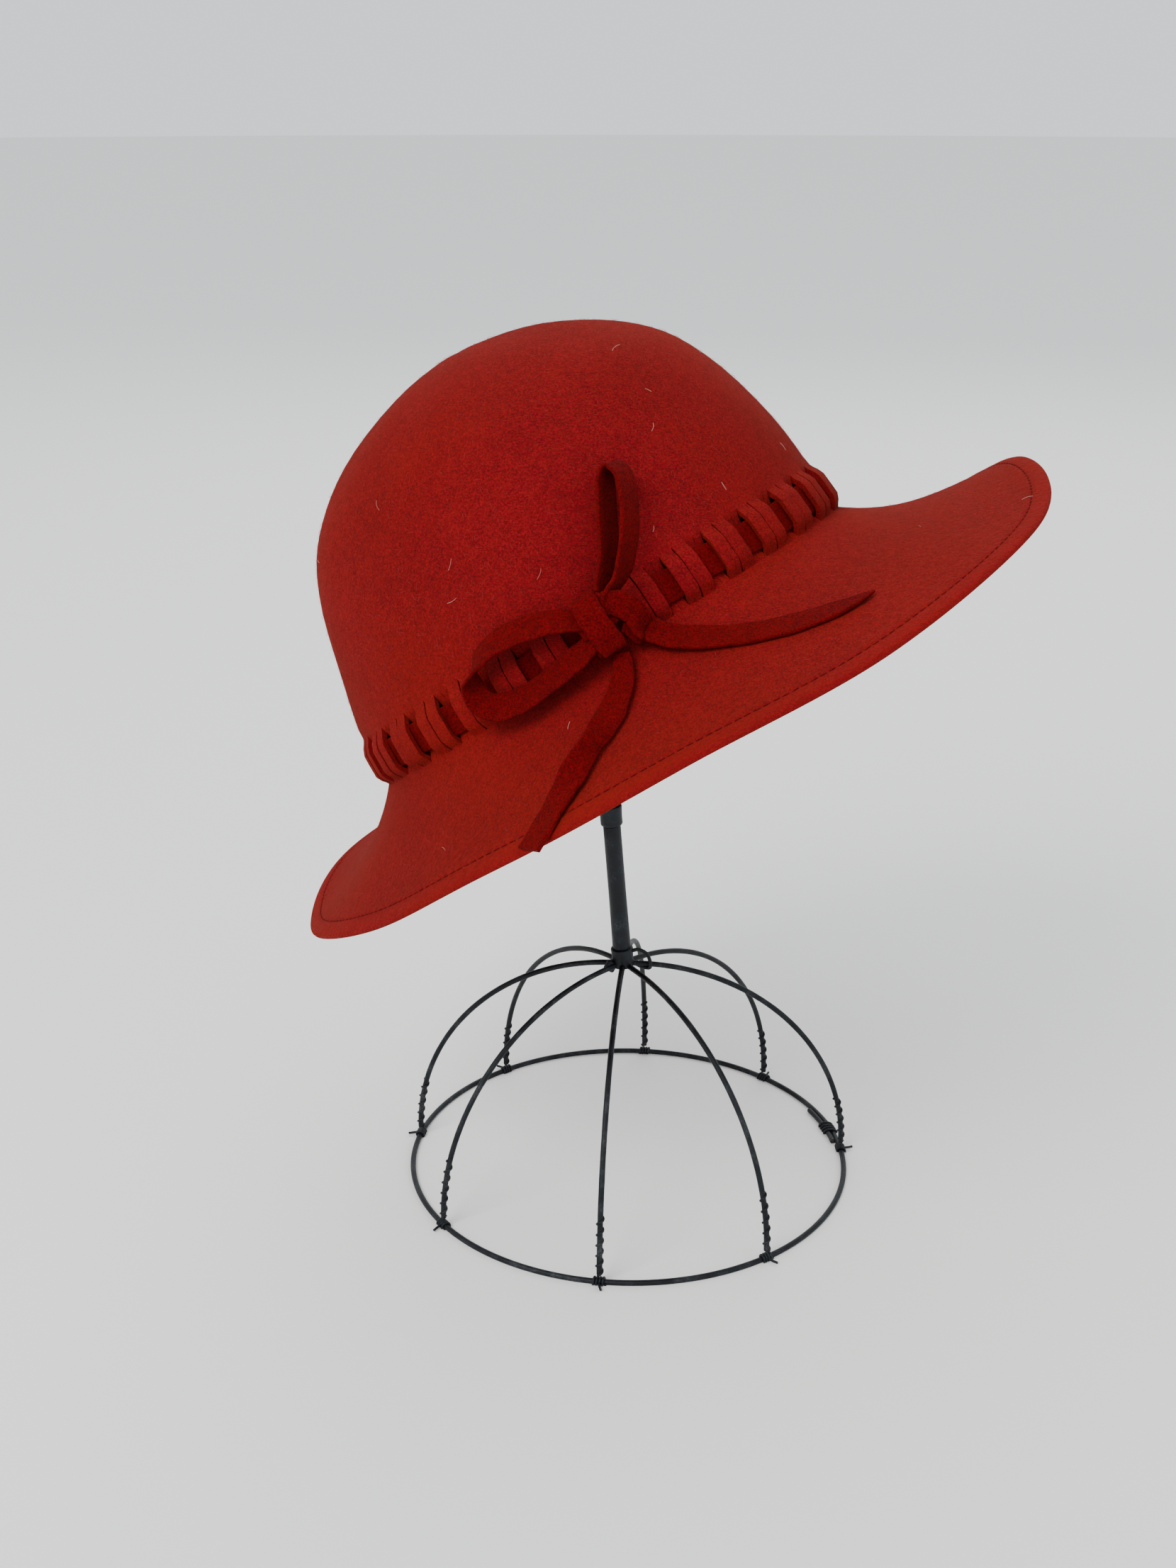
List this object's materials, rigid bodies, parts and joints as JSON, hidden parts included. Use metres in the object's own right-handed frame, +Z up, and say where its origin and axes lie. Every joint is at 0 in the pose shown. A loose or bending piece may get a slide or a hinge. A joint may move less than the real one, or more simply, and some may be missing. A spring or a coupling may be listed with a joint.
{
  "type": "cloche hat on a wire hat stand",
  "caption": "Round-crowned wool felt cloche with a flared brim, a slit band laced with a flat felt lace tied in a bow, tipped on a plain wire hat stand.",
  "frame": {"origin": "on the surface the stand's ring rests on, below the middle of the whole object", "axes": "+Z up, -Y towards the side with the bow, +X towards the raised front of the brim"},
  "size_m": [0.2688, 0.2716, 0.3366],
  "materials": {
    "felt": "matte wool felt",
    "lace_felt": "matte wool felt",
    "stand_iron": "satin"
  },
  "bodies": {
    "root": {"felt_hood": "felt", "lace_band": "lace_felt", "bow_knot": "lace_felt", "bow_loop_side": "lace_felt", "bow_loop_up": "lace_felt", "bow_tail_front": "lace_felt", "bow_tail_down": "lace_felt", "base_ring": "stand_iron", "rib_1": "stand_iron", "rib_tie_1": "stand_iron", "rib_2": "stand_iron", "rib_tie_2": "stand_iron", "rib_3": "stand_iron", "rib_tie_3": "stand_iron", "rib_4": "stand_iron", "rib_tie_4": "stand_iron", "rib_5": "stand_iron", "rib_tie_5": "stand_iron", "rib_6": "stand_iron", "rib_tie_6": "stand_iron", "rib_7": "stand_iron", "rib_tie_7": "stand_iron", "rib_8": "stand_iron", "rib_tie_8": "stand_iron", "base_collar": "stand_iron", "post": "stand_iron", "top_collar": "stand_iron", "crown_rest": "stand_iron"}
  },
  "joints": []
}
